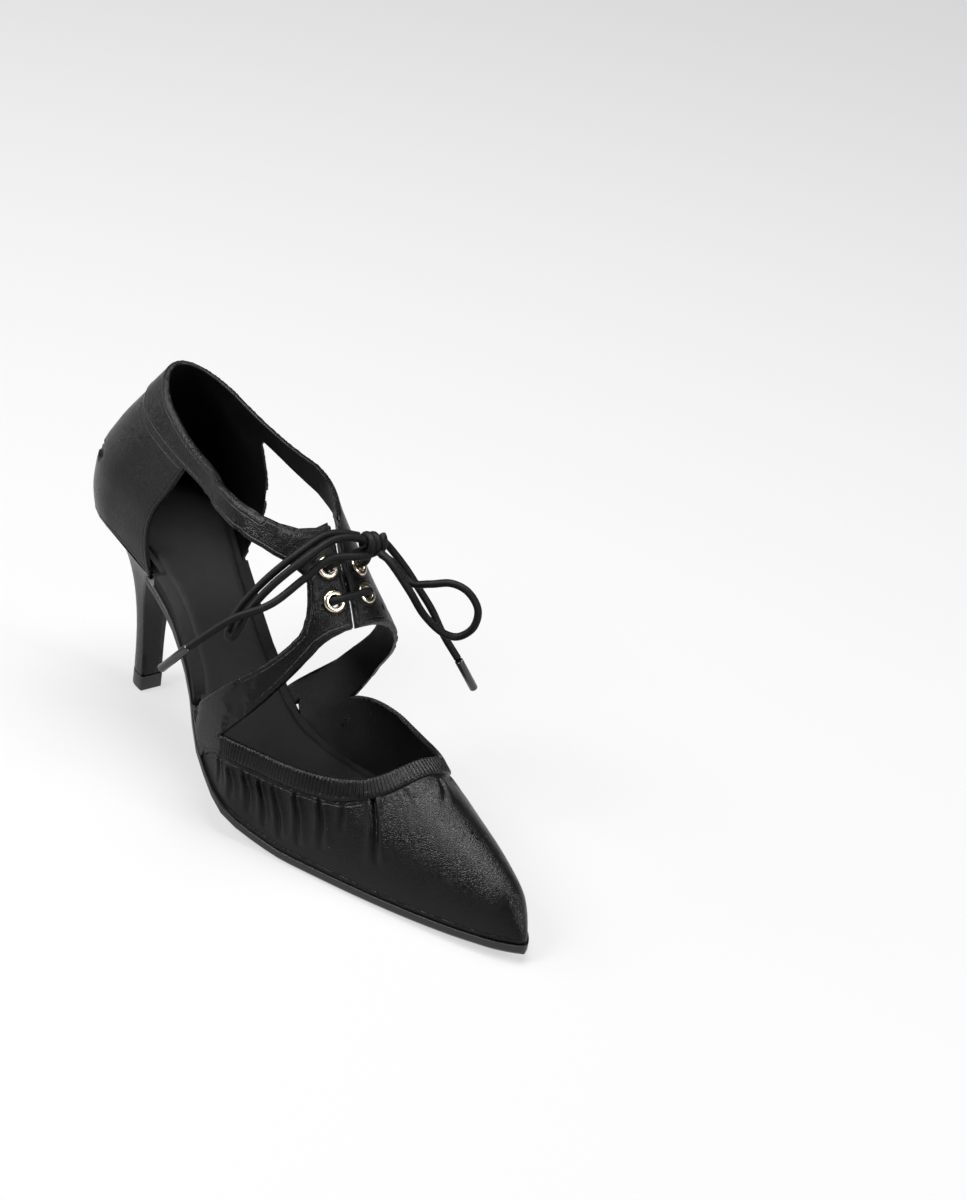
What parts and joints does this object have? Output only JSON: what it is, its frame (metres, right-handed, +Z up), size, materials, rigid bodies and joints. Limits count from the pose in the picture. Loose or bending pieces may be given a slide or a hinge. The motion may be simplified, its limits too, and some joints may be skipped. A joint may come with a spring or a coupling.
{
  "type": "lace-up pump",
  "caption": "Pointed lace-up pump for the right foot, with side cut-outs, eyelet panels tied by a waxed lace, a gathered vamp and a slim covered heel.",
  "frame": {"origin": "centre of the heel top piece's floor face", "axes": "+X to the toe, +Y to the inner side of the foot, +Z up"},
  "size_m": [0.2471, 0.1034, 0.1379],
  "materials": {
    "upper_leather": "satin black nappa, lightly grained",
    "sole": "smooth black edge",
    "insole_leather": "matt black",
    "heel_cover": "satin black leather over a moulded core",
    "top_piece_rubber": "matt black",
    "eyelet_metal": "pale gold plate, polished",
    "lace_cord": "round waxed cord",
    "aglet_plastic": "gloss black"
  },
  "bodies": {
    "root": {"upper": "upper_leather", "outsole": "sole", "insole": "insole_leather", "heel": "heel_cover", "top_piece": "top_piece_rubber", "eyelet_lateral_lower": "eyelet_metal", "eyelet_lateral_upper": "eyelet_metal", "eyelet_medial_lower": "eyelet_metal", "eyelet_medial_upper": "eyelet_metal", "lace_bars": "lace_cord", "lace_knot": "lace_cord", "lace_loop_lateral": "lace_cord", "lace_end_lateral": "lace_cord", "lace_loop_medial": "lace_cord", "lace_end_medial": "lace_cord", "aglet_lateral": "aglet_plastic", "aglet_medial": "aglet_plastic"}
  },
  "joints": []
}
